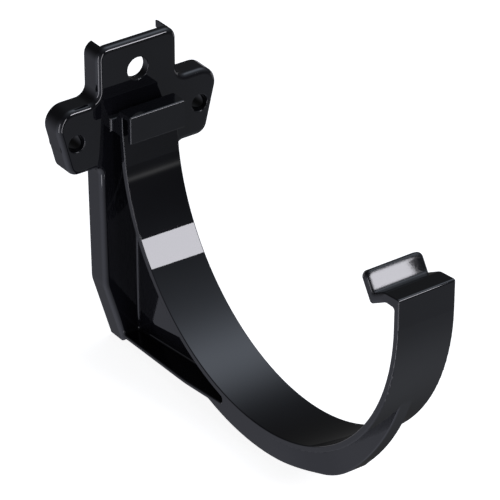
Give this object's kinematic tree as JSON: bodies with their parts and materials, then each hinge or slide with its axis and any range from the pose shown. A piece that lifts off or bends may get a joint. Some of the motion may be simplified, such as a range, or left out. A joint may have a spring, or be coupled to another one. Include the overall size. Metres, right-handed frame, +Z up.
{
  "type": "gutter bracket",
  "caption": "Moulded fascia bracket that cradles a half-round gutter: fixing plate with spine, webbed strap, rear clip and front hook.",
  "frame": {"origin": "on the fascia plane, midway between the two side screw holes", "axes": "+X along the gutter, +Y into the fascia board, +Z up"},
  "size_m": [0.0494, 0.1276, 0.0901],
  "materials": {
    "black_plastic": "smooth glossy black moulding"
  },
  "bodies": {
    "root": {"gutter_bracket": "black_plastic"}
  },
  "joints": []
}
